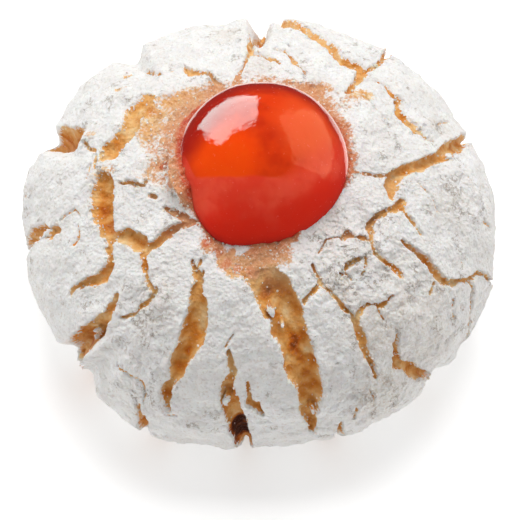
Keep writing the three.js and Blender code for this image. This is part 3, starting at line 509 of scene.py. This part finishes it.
def crack_lips(x, y, place, stray_x, stray_y):
    """The signed distance to the nearest lip, the depth of the cracks, how ragged their lips
    are and where hairlines run."""
    chips, _ = cell_noise(place, CHIP_SIZE, 37)
    bites, _ = cell_noise(place, BITE_SIZE, 38)
    ragged = 0.08 * turned_noise(place, 0.3, 35) + 0.4 * (chips - 0.5) + 0.2 * (bites - 0.5)
    edge, valley = crack_field(x + stray_x, y + stray_y, [path for _, path in CRACKS])
    hair_edge, _ = crack_field(x + 0.3 * stray_x, y + 0.3 * stray_y, HAIRLINES)
    edge = edge + ragged * smooth_step(0.0, 0.7, valley + 0.3)
    fragment = np.full(len(x), -FAR)
    for px, py, size in FRAGMENTS:
        fragment = np.maximum(fragment, size - np.hypot(x - px, y - py))
    fragment = fragment + 0.9 * ragged + 0.5 * stray_x
    edge = np.maximum(edge, np.minimum(fragment, FRAGMENT_HEIGHT))
    return edge, valley, ragged, 1 - smooth_step(-0.1, 0.08, hair_edge)


def crust_relief(place, edge, hair, scaly):
    """The height of the crust's plates, flakes, clods and pits, and where fine creases run."""
    plate = (0.07 + 0.16 * turned_noise(place, 2.6, 46)) * np.exp(-np.maximum(edge, 0) / 0.9)
    rough = 0.45 + 0.35 * scaly + 0.2 * turned_noise(place, 3.0, 47)
    clods, _ = cell_noise(place, CLOD_SIZE, 48)
    flakes = terraced(turned_noise(place, 1.7, 49) + 0.35 * turned_noise(place, 0.6, 50),
                      FLAKE_STEP)
    grain = 0.2 * turned_noise(place, 2.2, 41) + 0.13 * turned_noise(place, 1.0, 42) \
        + (0.16 + 0.12 * scaly) * flakes \
        + rough * (0.14 * turned_noise(place, 0.45, 43) + 0.16 * (0.5 - clods))
    pits = smooth_step(0.42, 0.75, turned_noise(place, 0.9, 44)) \
        * smooth_step(-0.1, 0.4, turned_noise(place, 4.0, 45))
    bent = place + 0.4 * np.stack([turned_noise(place, 0.8, 61 + axis) for axis in range(3)], -1)
    near_cell, next_cell = cell_noise(bent, CRAZE_SIZE, 60)
    crazed = (1 - smooth_step(0.03, 0.14, next_cell - near_cell)) * np.clip(
        smooth_step(0.0, 0.5, turned_noise(place, 1.6, 64)) * (0.25 + scaly), 0, 1)
    return plate + grain - PIT_DEPTH * pits - HAIRLINE_DEPTH * hair - CRAZE_DEPTH * crazed, crazed


def syrup_climb(bearing, place):
    """How far the ring's paste climbs towards the cherry."""
    gap = np.linalg.norm(place + WAIST_CENTRE - CHERRY_CENTRE, axis=1) - CHERRY_RADIUS
    climb = at_bearing(bearing, COLLAR_CLIMB)
    return climb * np.exp(-np.maximum(gap, 0) / np.where(climb > 0, 0.8, 2.0))


def paste_relief(place, crust, edge, valley, ring, climb):
    """The height of the beaded paste in the cracks and in the ring round the cherry."""
    inside = np.flatnonzero(crust < 1)
    beads = np.zeros(len(place))
    bead, _ = cell_noise(place[inside], BEAD_SIZE, 51)
    beads[inside] = (0.24 * (0.55 - bead) + 0.1 * turned_noise(place[inside], 0.3, 52)) \
        * (0.45 + 0.55 * smooth_step(0.6, -0.4, ring[inside]))
    relief = -CRUST_THICKNESS + beads + 0.16 * turned_noise(place, 1.3, 53)
    collar_drop = (COLLAR_DEPTH - CRUST_THICKNESS) * smooth_step(0, 1.4, -ring)
    return relief - np.where(edge < 0, np.maximum(valley - 0.1, 0), 0) \
        - collar_drop + np.where(ring < 0.5, climb, 0)


def with_flat_base(toward, place, radius):
    """The radius cut off at the flat and finely pored underside, and where that is."""
    (seed, size, depth), (fine_seed, fine_size, fine_depth) = PORES
    pores = depth * np.clip(turned_noise(place, size, seed), 0, 1) \
        + fine_depth * np.clip(0.5 + turned_noise(place, fine_size, fine_seed), 0, 1)
    below = toward[:, 2] < 0
    floor = np.full(len(radius), 1e9)
    floor[below] = WAIST_HEIGHT / -toward[below, 2]
    flat = floor < radius
    rim = smooth_step(0.0, 1.0, radius - floor)
    floor[below] -= (pores * rim)[below] / -toward[below, 2]
    return np.minimum(radius, floor), flat


def dusting_of(x, y, place, edge, ring, bearing, touching):
    """How much loose sugar hides the paste, on the ring and outside it."""
    blur = at_bearing(bearing, COLLAR_BLUR)
    dusting = 0.04 + 0.4 * smooth_step(0.1, 0.7, turned_noise(place, 1.1, 67)) \
        + patchwork(x, y, DUSTED_PATCHES) \
        * smooth_step(-0.8, 0.2, turned_noise(place, 0.8, 68))
    dusting = np.where(edge > 0, dusting, 0.04) * smooth_step(0.2, 0.9, touching)
    return dusting + (1 - dusting) * smooth_step(
        -1.0, 0.6, (ring + 0.3 * turned_noise(place, 0.7, 66)) / blur)


def fields(toward):
    """Everything about the surface in each direction: its radius and what shows there."""
    radius, place = lumpy_place(toward)
    x, y = crust_map(toward)
    y = y + FRONT_SAG * smooth_step(20, 27, -y)
    bearing = np.degrees(np.arctan2(y, x))
    stray_x, stray_y = wander(place)
    patch_x, patch_y = x + 1.5 * stray_x, y + 1.5 * stray_y

    edge, valley, ragged, hair = crack_lips(x, y, place, stray_x, stray_y)
    ring = np.hypot(x, y) - at_bearing(bearing, COLLAR_EDGE) + 0.9 * stray_x + 0.5 * ragged \
        + 0.5 * turned_noise(place, 1.5, 36)
    valley = valley * smooth_step(-1.5, 3.0, ring)
    crust = smooth_step(0, LIP_WIDTH, edge) * smooth_step(-0.9, 0.6, ring)

    scaly = patchwork(patch_x, patch_y, SCALY_PATCHES)
    on_crust, crazed = crust_relief(place, edge, hair, scaly)
    climb = syrup_climb(bearing, place)
    on_paste = paste_relief(place, crust, edge, valley, ring, climb)
    radius = radius + crust * on_crust + (1 - crust) * on_paste
    radius, flat = with_flat_base(toward, place, radius)

    touching = np.linalg.norm(toward * radius[:, None] + WAIST_CENTRE - CHERRY_CENTRE, axis=1)
    touching = np.maximum(touching - CHERRY_RADIUS, 0)
    stain = sum(share * np.exp(-touching / reach) for share, reach in STAIN_REACHES)
    haze = dusting_of(patch_x, patch_y, place, edge, ring, bearing, touching)
    dusted = smooth_step(-0.02, 0.1, edge) * (1 - 0.75 * hair)
    worn = patchwork(patch_x, patch_y, BARE_PATCHES)
    thin = patchwork(patch_x, patch_y, THIN_PATCHES) + 0.5 * crazed
    # how deep in a crack the paste lies, which darkens its colour as painted shade
    deep = np.clip((1 - crust) * (valley / CRACK_DEPTH_MOST), 0, 1)
    return {
        "radius": radius,
        "sugar": np.where(flat, 0.0, np.clip(dusted, 0, 1)),
        "haze": np.clip(np.minimum(haze, 1 - worn), 0, 1),
        "deep": np.where(flat, 0.5, deep),
        "stain": np.maximum(stain, patchwork(patch_x, patch_y, REDDENED_PATCHES)),
        "edge": np.clip(np.minimum(edge, ring), -2, 2),
        "ring": np.clip(-ring, 0, 2),
        "flat": flat.astype(float),
        "toast_and_shade": toast_and_shade_at(x, y),
        "thin": np.clip(thin, 0, 1),
        "scaly": scaly,
        "film": smooth_step(0.75, 0.25, touching + 0.2 * turned_noise(place, 0.9, 69))
        * smooth_step(0.9, 2.0, np.where(ring < 0.5, climb, 0)),
    }


# ---- Meshes ----
def sphere_mesh(name, cuts):
    """A unit icosphere's mesh and the directions of its corners."""
    ball = bmesh.new()
    bmesh.ops.create_icosphere(ball, subdivisions=cuts, radius=1)
    mesh = bpy.data.meshes.new(name)
    ball.to_mesh(mesh)
    ball.free()
    toward = corners_of(mesh)
    return mesh, toward / np.linalg.norm(toward, axis=1)[:, None]


def corners_of(mesh):
    corners = np.empty(len(mesh.vertices) * 3, np.float32)
    mesh.vertices.foreach_get("co", corners)
    return corners.reshape(-1, 3).astype(float)


def move_corners(mesh, corners):
    mesh.vertices.foreach_set("co", (corners * MM).astype(np.float32).ravel())
    mesh.update()


def link(name, data):
    """A new object in the scene with the mesh, lamp or camera given."""
    thing = bpy.data.objects.new(name, data)
    bpy.context.scene.collection.objects.link(thing)
    return thing


def settled(thing):
    """The object's mesh with its modifiers applied."""
    graph = bpy.context.evaluated_depsgraph_get()
    mesh = bpy.data.meshes.new_from_object(thing.evaluated_get(graph))
    thing.modifiers.clear()
    thing.data = mesh
    return mesh


def set_values(mesh, name, values):
    attribute = mesh.attributes.new(name, "FLOAT", "POINT")
    attribute.data.foreach_set("value", values.astype(np.float32))


def cherry_mesh(name, extra, cuts):
    mesh, toward = sphere_mesh(name, cuts)
    swell = CHERRY_RADIUS + extra + lumpiness(toward * CHERRY_RADIUS, CHERRY_LUMPS)
    for way, reach, height in CHERRY_SWELLS:
        middle = np.array(way) / np.linalg.norm(way)
        apart = np.degrees(np.arccos(np.clip(toward @ middle, -1, 1)))
        swell = swell + height * (1 - smooth_step(0, reach, apart))
    move_corners(mesh, toward * swell[:, None] + CHERRY_CENTRE)
    return mesh


def make_cherry():
    mesh = cherry_mesh("cherry_candied", 0.0, CHERRY_CUTS)
    mesh.polygons.foreach_set("use_smooth", [True] * len(mesh.polygons))
    return link("cherry_candied", mesh)


def make_cookie():
    """The cookie, shaped finely, reduced, and cut out where the cherry sits."""
    mesh, toward = sphere_mesh("cookie_crust", FINE_CUTS)
    found = fields(toward)
    move_corners(mesh, toward * found["radius"][:, None] + WAIST_CENTRE)
    cookie = link("cookie_crust", mesh)
    reduce = cookie.modifiers.new("reduce", "DECIMATE")
    reduce.ratio = COOKIE_TRIANGLES / len(mesh.polygons)
    settled(cookie)
    cutter = link("socket", cherry_mesh("socket", SOCKET_GROWTH, SOCKET_CUTS))
    socket = cookie.modifiers.new("socket", "BOOLEAN")
    socket.operation = "DIFFERENCE"
    socket.solver = "MANIFOLD"
    socket.object = cutter
    mesh = settled(cookie)
    bpy.data.objects.remove(cutter)
    offset = corners_of(mesh) / MM - WAIST_CENTRE
    found = fields(offset / np.linalg.norm(offset, axis=1)[:, None])
    for name in ("sugar", "haze", "deep", "stain", "toast_and_shade", "thin", "film", "scaly"):
        set_values(mesh, name, found[name])
    mesh.polygons.foreach_set("use_smooth", [True] * len(mesh.polygons))
    return cookie


# ---- Crumbs of sugar and paste that lie on the cookie ----
def crumb_chance(found):
    """How likely a crumb lies at each place: most of all along the lips of the cracks."""
    return (found["edge"] < 0.12) * (found["flat"] < 0.5) \
        * np.where(found["edge"] > -0.2, 0.6, 0.012 + 0.1 * (found["ring"] > 0.2)) \
        * (found["film"] < 0.1)


def make_crumbs():
    """Small uneven grains, all in one mesh, each sunk a little into what it lies on."""
    draw = np.random.default_rng(CRUMB_SEED)
    toward = draw.normal(size=(CRUMB_COUNT * CRUMB_TRIES, 3))
    toward[:, 2] = np.abs(toward[:, 2]) * 1.2 - 0.25  # mostly over the upper half
    toward /= np.linalg.norm(toward, axis=1)[:, None]
    found = fields(toward)
    place = toward * found["radius"][:, None] + WAIST_CENTRE
    clear = np.linalg.norm(place - CHERRY_CENTRE, axis=1) > CHERRY_RADIUS + CHERRY_CLEARANCE
    chance = crumb_chance(found) * clear
    picked = np.flatnonzero(draw.random(len(chance)) < chance)[:CRUMB_COUNT]
    ball = bmesh.new()
    bmesh.ops.create_icosphere(ball, subdivisions=1, radius=1)
    shape = np.array([v.co for v in ball.verts])
    faces = np.array([[v.index for v in f.verts] for f in ball.faces])
    ball.free()
    size = draw.uniform(*CRUMB_SIZES, len(picked))
    bumps = draw.uniform(0.7, 1.2, (len(picked), len(shape), 1))
    stretch = draw.uniform(0.7, 1.25, (len(picked), 1, 3))
    corners = shape[None] * bumps * stretch * size[:, None, None] / 2
    middle = place[picked] + toward[picked] * (size * 0.22)[:, None]
    corners = (corners + middle[:, None]).reshape(-1, 3)
    starts = np.arange(len(picked)) * len(shape)
    mesh = bpy.data.meshes.new("sugar_crumbs")
    mesh.from_pydata(corners * MM, [], (faces[None] + starts[:, None, None]).reshape(-1, 3))
    mesh.update()
    return link("sugar_crumbs", mesh)


# ---- Materials ----
class Nodes:
    """Short calls that add nodes to a material."""

    def __init__(self, name):
        self.material = bpy.data.materials.new(name)
        self.material.use_nodes = True
        self.tree = self.material.node_tree
        self.shader = self.tree.nodes["Principled BSDF"]

    def add(self, kind, inputs=(), **settings):
        node = self.tree.nodes.new(kind)
        for key, value in settings.items():
            setattr(node, key, value)
        for socket, value in inputs:
            self.put(node.inputs[socket], value)
        return node

    def put(self, socket, value):
        if isinstance(value, bpy.types.NodeSocket):
            self.tree.links.new(value, socket)
        else:
            socket.default_value = value

    def finish(self, *inputs):
        """Set or link inputs of the shader, and give back the material."""
        for socket, value in inputs:
            self.put(self.shader.inputs[socket], value)
        return self.material

    def place(self):
        return self.add("ShaderNodeTexCoord").outputs["Object"]

    def value(self, name):
        return self.add("ShaderNodeAttribute", attribute_name=name).outputs["Fac"]

    def maths(self, operation, a, b=0.0):
        return self.add("ShaderNodeMath", [(0, a), (1, b)], operation=operation).outputs[0]

    def swung(self, value, middle, amount):
        """The value's distance from its middle, times the amount."""
        return self.maths("MULTIPLY", self.maths("SUBTRACT", value, middle), amount)

    def noise(self, size_mm, detail=2.0, rough=0.5, shift=0.0):
        """Noise whose features are about size_mm long."""
        moved = self.add("ShaderNodeMapping", [("Vector", self.place()),
                                               ("Location", (shift, shift * 0.7, shift * 1.3))])
        node = self.add("ShaderNodeTexNoise", [
            ("Vector", moved.outputs[0]), ("Scale", 1 / (size_mm * MM)), ("Detail", detail),
            ("Roughness", rough)])
        return node.outputs["Fac"]

    def cells(self, size_mm):
        """Distance to the nearest of scattered points about size_mm apart."""
        node = self.add("ShaderNodeTexVoronoi", [("Vector", self.place()),
                                                 ("Scale", 1 / (size_mm * MM))])
        return node.outputs["Distance"]

    def along(self, way, place):
        """How far a place lies from the cherry's centre in a fixed direction, in mm."""
        offset = self.add("ShaderNodeVectorMath", [(0, place), (1, [m * MM for m in CHERRY_CENTRE])],
                          operation="SUBTRACT")
        dot = self.add("ShaderNodeVectorMath", [(0, offset.outputs[0]), (1, [w / MM for w in way])],
                       operation="DOT_PRODUCT")
        return dot.outputs["Value"]

    def painted_glow_at(self, middle, reach_mm, place):
        """1 at the middle given in mm, fading to 0 at reach_mm from it, with a cloudy edge: the shape of
        a painted glow.
        """
        away = self.add("ShaderNodeVectorMath", [(0, place), (1, [m * MM for m in middle])],
                        operation="DISTANCE")
        cloudy = self.maths("ADD", away.outputs["Value"],
                            self.maths("MULTIPLY", self.noise(2.5, 2), 0.3 * reach_mm * MM))
        return self.spread(cloudy, 0.55 * reach_mm * MM, 1.15 * reach_mm * MM, 1.0, 0.0)

    def spread(self, value, low, high, to_low=0.0, to_high=1.0):
        """The value's range from low to high spread smoothly over another range."""
        node = self.add("ShaderNodeMapRange", [
            ("Value", value), ("From Min", low), ("From Max", high), ("To Min", to_low),
            ("To Max", to_high)], interpolation_type="SMOOTHSTEP")
        return node.outputs["Result"]

    def mix(self, share, a, b):
        return self.add("ShaderNodeMix", [(0, share), (6, a), (7, b)], data_type="RGBA",
                        clamp_factor=True).outputs[2]

    def ramp(self, value, stops):
        node = self.add("ShaderNodeValToRGB", [(0, value)])
        elements = node.color_ramp.elements
        while len(elements) < len(stops):
            elements.new(0.5)
        for element, (at, colour) in zip(elements, stops):
            element.position = at
            element.color = colour
        return node.outputs[0]

    def bump(self, height, distance_mm, strength=1.0, under=None):
        node = self.add("ShaderNodeBump", [("Height", height), ("Distance", distance_mm * MM),
                                           ("Strength", strength)])
        if under is not None:
            self.put(node.inputs["Normal"], under)
        return node.outputs[0]


def linear(red, green, blue):
    return (red, green, blue, 1.0)


def srgb(red, green, blue):
    """A colour in linear light from its 0 to 255 display values."""
    shares = [c / 255 for c in (red, green, blue)]
    return linear(*[c / 12.92 if c <= 0.04045 else ((c + 0.055) / 1.055) ** 2.4 for c in shares])


SUGAR_DULL = srgb(240, 237, 234)
SUGAR_BRIGHT = srgb(248, 247, 245)
SUGAR_SPECK = srgb(205, 198, 192)
SUGAR_THIN = srgb(214, 196, 176)
# painted shade along fine creases in the sugar
CREASE_SHADE = srgb(170, 146, 122)
PASTE = [(0.0, srgb(248, 214, 160)), (0.25, srgb(240, 182, 108)), (0.5, srgb(222, 142, 56)),
         (0.75, srgb(198, 102, 24)), (1.0, srgb(84, 38, 20))]
STAINED_PASTE = [(0.1, srgb(226, 178, 128)), (0.4, srgb(224, 164, 120)),
                 (0.7, srgb(218, 142, 100)), (0.95, srgb(206, 104, 68))]
GRAIN_LIGHT = srgb(246, 222, 200)
GRAIN_DARK = srgb(182, 96, 44)
SYRUP_FILM = (srgb(216, 100, 62), srgb(196, 62, 34))
FLOOR_TONES = (linear(0.93, 0.93, 0.93), linear(0.94, 0.94, 0.94))
CRUMB_TONES = (srgb(238, 222, 200), srgb(248, 244, 240))
CHERRY_TONES = (linear(0.62, 0.030, 0.003), linear(0.78, 0.052, 0.004))
# Painted light on the cherry: two glows, a reflection of the crust, and shade at the foot, the far left
# and the far rim.
CHERRY_PAINTED_GLOW = linear(0.98, 0.075, 0.001)
CHERRY_SIDE_PAINTED_GLOW = linear(0.86, 0.085, 0.015)
CHERRY_REFLECTION_TONES = (linear(0.86, 0.056, 0.024), linear(0.94, 0.094, 0.046))
CHERRY_FOOT_SHADE = linear(0.84, 0.026, 0.007)
CHERRY_CORNER_SHADE = linear(0.45, 0.012, 0.003)
CHERRY_RIM_SHADE = linear(0.40, 0.012, 0.003)
CHERRY_CORNER_SHADE_WAY = (-0.80, 0.51, 0.32)  # towards the painted shade on the cherry's far left


def sugar_colour(n, speck, crease):
    """White sugar with dull clouds and grey specks, thin places and painted shade along its creases."""
    cloud = n.spread(n.noise(2.6, 3, 0.6, 1.0), 0.3, 0.7)
    tone = n.mix(cloud, SUGAR_DULL, SUGAR_BRIGHT)
    tone = n.mix(n.spread(speck, 0.05, 0.3, 0.3, 0.0), tone, SUGAR_SPECK)
    bare_dots = n.spread(n.noise(0.22, 2, 0.6, 5.0), 0.42, 0.62)
    thinness = n.maths("MULTIPLY", n.value("thin"), n.spread(bare_dots, 0, 1, 0.15, 0.65))
    tone = n.mix(thinness, tone, SUGAR_THIN)
    # painted shade along the creases
    return n.mix(n.maths("MULTIPLY", crease, 0.55), tone, CREASE_SHADE)


def paste_colour(n):
    """Baked paste: blotches, painted shade deeper in the cracks, browned places with painted shadow in
    the hollow under the arch, the cherry's stain, grains and film.
    """
    blotch = n.noise(1.5, 2, 0.5)
    # painted shade: the paste darker the deeper it lies in a crack
    shade = n.maths("ADD", n.maths("MULTIPLY", n.value("deep"), 0.35), n.swung(blotch, 0.36, 1.4))
    # browned paste, with painted shadow in the hollow under the arch
    shade = n.maths("ADD", shade, n.maths("MULTIPLY", n.value("toast_and_shade"), 0.6))
    tone = n.ramp(shade, PASTE)
    stained = n.ramp(n.maths("ADD", n.value("stain"), n.swung(blotch, 0.5, 0.6)), STAINED_PASTE)
    tone = n.mix(n.spread(n.value("stain"), 0.06, 0.34), tone, stained)
    grains = n.noise(0.24, 2, 0.6, 3.0)
    grainy = n.spread(n.value("haze"), 0.3, 0.9, 1.0, 0.25)
    light_grains = n.maths("MULTIPLY", grainy, n.spread(grains, 0.57, 0.65, 0, 0.55))
    tone = n.mix(light_grains, tone, GRAIN_LIGHT)
    dark_grains = n.maths("MULTIPLY", grainy, n.spread(grains, 0.34, 0.42, 0.4, 0))
    tone = n.mix(dark_grains, tone, GRAIN_DARK)
    film = n.mix(n.spread(blotch, 0.4, 0.6), *SYRUP_FILM)
    filmed = n.maths("MULTIPLY", n.value("film"), n.spread(grains, 0.5, 0.64, 1.0, 0.55))
    return n.mix(filmed, tone, film)


def cookie_material():
    n = Nodes("icing_sugar_and_paste")
    speck = n.spread(n.noise(0.3, 3, 0.6), 0.3, 0.7)
    # short creases, thickest where the crust is scaly: bumped, and darkened as painted shade
    fold = n.maths("ABSOLUTE", n.maths("SUBTRACT", n.noise(0.8, 3, 0.65, 7.0), 0.5))
    some = n.maths("ADD", n.noise(1.6, 2, 0.5, 9.0), n.maths("MULTIPLY", n.value("scaly"), 0.13))
    crease = n.maths("MULTIPLY", n.spread(fold, 0.010, 0.028, 1.0, 0.0), n.spread(some, 0.6, 0.68))
    # sugar lies where the crust is whole and the haze of loose sugar is thick
    coverage = n.maths("ADD", n.value("sugar"), n.swung(speck, 0.5, 0.6))
    veil = n.maths("ADD", n.value("haze"), n.swung(speck, 0.5, 0.6))
    share = n.maths("MULTIPLY", n.spread(coverage, 0.36, 0.5), n.spread(veil, 0.2, 0.85))
    grain = n.bump(n.noise(0.2, 3, 0.7), 0.12, 1.0)
    grain = n.bump(n.cells(0.38), 0.14, 0.8, grain)
    grain = n.bump(n.noise(0.55, 3, 0.6, 4.0), 0.14, 1.0, grain)
    return n.finish(
        ("Base Color", n.mix(share, paste_colour(n), sugar_colour(n, speck, crease))),
        ("Roughness", n.spread(share, 0, 1, 0.5, 0.95)),
        ("Normal", n.bump(crease, -0.08, 1.0, grain)),
        ("Subsurface Weight", 0.12), ("Subsurface Radius", (1.0, 0.6, 0.35)),
        ("Subsurface Scale", 0.6 * MM), ("Specular IOR Level", 0.18))


def cherry_colour(n):
    """Red syrup with painted light: a glow inside, a paler lower part that is a painted reflection of the
    crust, painted shade at the foot and painted shade on the far edges.
    """
    place = n.place()
    side = n.along(VIEW_RIGHT, place)
    up = n.along(VIEW_UP, place)
    back = n.along(VIEW_BACK, place)
    cloud = n.maths("SUBTRACT", n.noise(3.5, 3, 0.55), 0.5)
    tone = n.mix(n.spread(cloud, -0.12, 0.12), *CHERRY_TONES)
    # painted glow: brighter orange where light shining through the cherry would show, at its middle left
    # and on its right
    tone = n.mix(n.painted_glow_at(PAINTED_GLOW_PLACE, PAINTED_GLOW_REACH, place), tone, CHERRY_PAINTED_GLOW)
    tone = n.mix(n.painted_glow_at(SIDE_PAINTED_GLOW_PLACE, SIDE_PAINTED_GLOW_REACH, place), tone, CHERRY_SIDE_PAINTED_GLOW)
    # the lower part is paler, a painted reflection of the crust in front; its top edge curves down at
    # both sides and blurs towards the right
    ends = n.maths("ADD", n.spread(side, 1.4, 8.4, 0.0, 3.6), n.spread(side, -7.8, -6.4, 2.2, 0.0))
    height = n.maths("SUBTRACT", n.maths("ADD", up, n.maths("MULTIPLY", cloud, 0.9)), ends)
    blur = n.spread(side, 1.0, 5.0, 0.18, 2.2)
    lower = n.spread(n.maths("DIVIDE", n.maths("ADD", height, 0.95), blur), -1.0, 1.0, 1.0, 0.0)
    tone = n.mix(lower, tone, n.mix(n.spread(cloud, -0.1, 0.1), *CHERRY_REFLECTION_TONES))
    # painted shade: a deep, darker red at the cherry's foot, below the painted reflection
    foot = n.spread(n.maths("ADD", height, n.maths("MULTIPLY", cloud, 3.0)), -5.8, -2.6, 1.0, 0.0)
    tone = n.mix(foot, tone, CHERRY_FOOT_SHADE)
    # painted shade: the far upper left of the cherry darker
    corner = n.spread(n.along(CHERRY_CORNER_SHADE_WAY, place), 5.4, 7.4)
    tone = n.mix(n.maths("MULTIPLY", corner, n.spread(up, -1.0, 2.0)), tone, CHERRY_CORNER_SHADE)
    # painted shade: a darker band just inside the cherry's upper rim as the camera sees it
    rim_shade = n.maths("MULTIPLY", n.spread(back, 2.0, 4.6, 0.9, 0.0), n.spread(up, 2.2, 4.4))
    return n.mix(rim_shade, tone, CHERRY_RIM_SHADE)


def cherry_material():
    n = Nodes("candied_cherry")
    fine = n.bump(n.noise(0.6, 2), 0.05, 0.6)
    return n.finish(
        ("Base Color", cherry_colour(n)),
        ("Roughness", n.spread(n.noise(0.35, 2, 0.6), 0.66, 0.72, 0.07, 0.45)),
        ("Normal", n.bump(n.noise(1.8, 2), 0.14, 0.8, fine)),
        ("Specular IOR Level", 0.5), ("Subsurface Weight", 0.5),
        ("Subsurface Radius", (1.0, 0.2, 0.05)), ("Subsurface Scale", 1.2 * MM),
        ("Coat Weight", 0.5), ("Coat Roughness", 0.04))


def crumb_material():
    n = Nodes("sugar_crumbs")
    return n.finish(
        ("Base Color", n.mix(n.noise(0.6, 1), *CRUMB_TONES)),
        ("Roughness", n.spread(n.noise(0.3, 1), 0.3, 0.7, 0.6, 0.9)),
        ("Normal", n.bump(n.noise(0.12, 2), 0.03, 0.5)),
        ("Subsurface Weight", 0.2), ("Subsurface Scale", 0.4 * MM))


def floor_material():
    n = Nodes("pale_floor")
    return n.finish(
        ("Base Color", n.mix(n.noise(40, 2), *FLOOR_TONES)),
        ("Roughness", 0.9), ("Specular IOR Level", 0.1),
        ("Emission Color", linear(1, 1, 1)), ("Emission Strength", 0.34))


# ---- The stage ----
def make_lamp(name, place, target, size, power, colour, roll, use):
    lamp = bpy.data.lights.new(name, "AREA")
    lamp.shape = "RECTANGLE"
    lamp.size, lamp.size_y = size
    lamp.energy = power
    lamp.color = colour
    thing = link(name, lamp)
    thing.location = place
    thing.rotation_euler = (Vector(target) - Vector(place)).to_track_quat("-Z", "Y").to_euler()
    if roll:
        thing.rotation_euler.rotate_axis("Z", math.radians(roll))
    thing.visible_glossy = use != "lights"
    thing.visible_diffuse = use != "mirrored"


def make_world():
    """Even soft light that the cherry hardly mirrors, as in a dark studio with white walls."""
    world = bpy.data.worlds.new("studio")
    world.use_nodes = True
    tree = world.node_tree
    light_path = tree.nodes.new("ShaderNodeLightPath")
    dim = tree.nodes.new("ShaderNodeMapRange")
    tree.links.new(light_path.outputs["Is Glossy Ray"], dim.inputs["Value"])
    dim.inputs["To Min"].default_value = WORLD_FILL
    dim.inputs["To Max"].default_value = WORLD_MIRRORED
    background = tree.nodes["Background"]
    background.inputs[0].default_value = (1, 1, 1, 1)
    tree.links.new(dim.outputs["Result"], background.inputs[1])
    bpy.context.scene.world = world


def make_stage():
    mesh = bpy.data.meshes.new("floor")
    corners = [(-1, -1), (1, -1), (1, 1), (-1, 1)]
    mesh.from_pydata([(x * FLOOR_HALF, y * FLOOR_HALF, 0) for x, y in corners], [],
                     [(0, 1, 2, 3)])
    mesh.materials.append(floor_material())
    floor = link("floor", mesh)
    floor.visible_glossy = False
    make_world()
    for lamp in LAMPS:
        make_lamp(*lamp)


def make_camera():
    elevation = math.radians(CAMERA_ELEVATION)
    camera = bpy.data.cameras.new("camera")
    camera.sensor_width = 36
    camera.lens = CAMERA_LENS
    camera.shift_x, camera.shift_y = CAMERA_SHIFT
    thing = link("camera", camera)
    target = Vector((0, 0, WAIST_HEIGHT * MM))
    back = Vector((0, -math.cos(elevation), math.sin(elevation)))
    thing.location = target + back * CAMERA_DISTANCE
    thing.rotation_euler = (-back).to_track_quat("-Z", "Y").to_euler()
    bpy.context.scene.camera = thing


# ---- The scene ----
cookie = make_cookie()
cookie.data.materials.clear()
cookie.data.materials.append(cookie_material())
cookie.visible_glossy = False
cherry = make_cherry()
cherry.data.materials.append(cherry_material())
crumbs = make_crumbs()
crumbs.data.materials.append(crumb_material())
crumbs.visible_glossy = False

for piece in (cookie, cherry, crumbs):
    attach(piece, "root")
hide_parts("cookie")
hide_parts("cherry")

make_stage()
make_camera()
scene = bpy.context.scene
scene.view_settings.view_transform = "Standard"
scene.view_settings.look = "None"
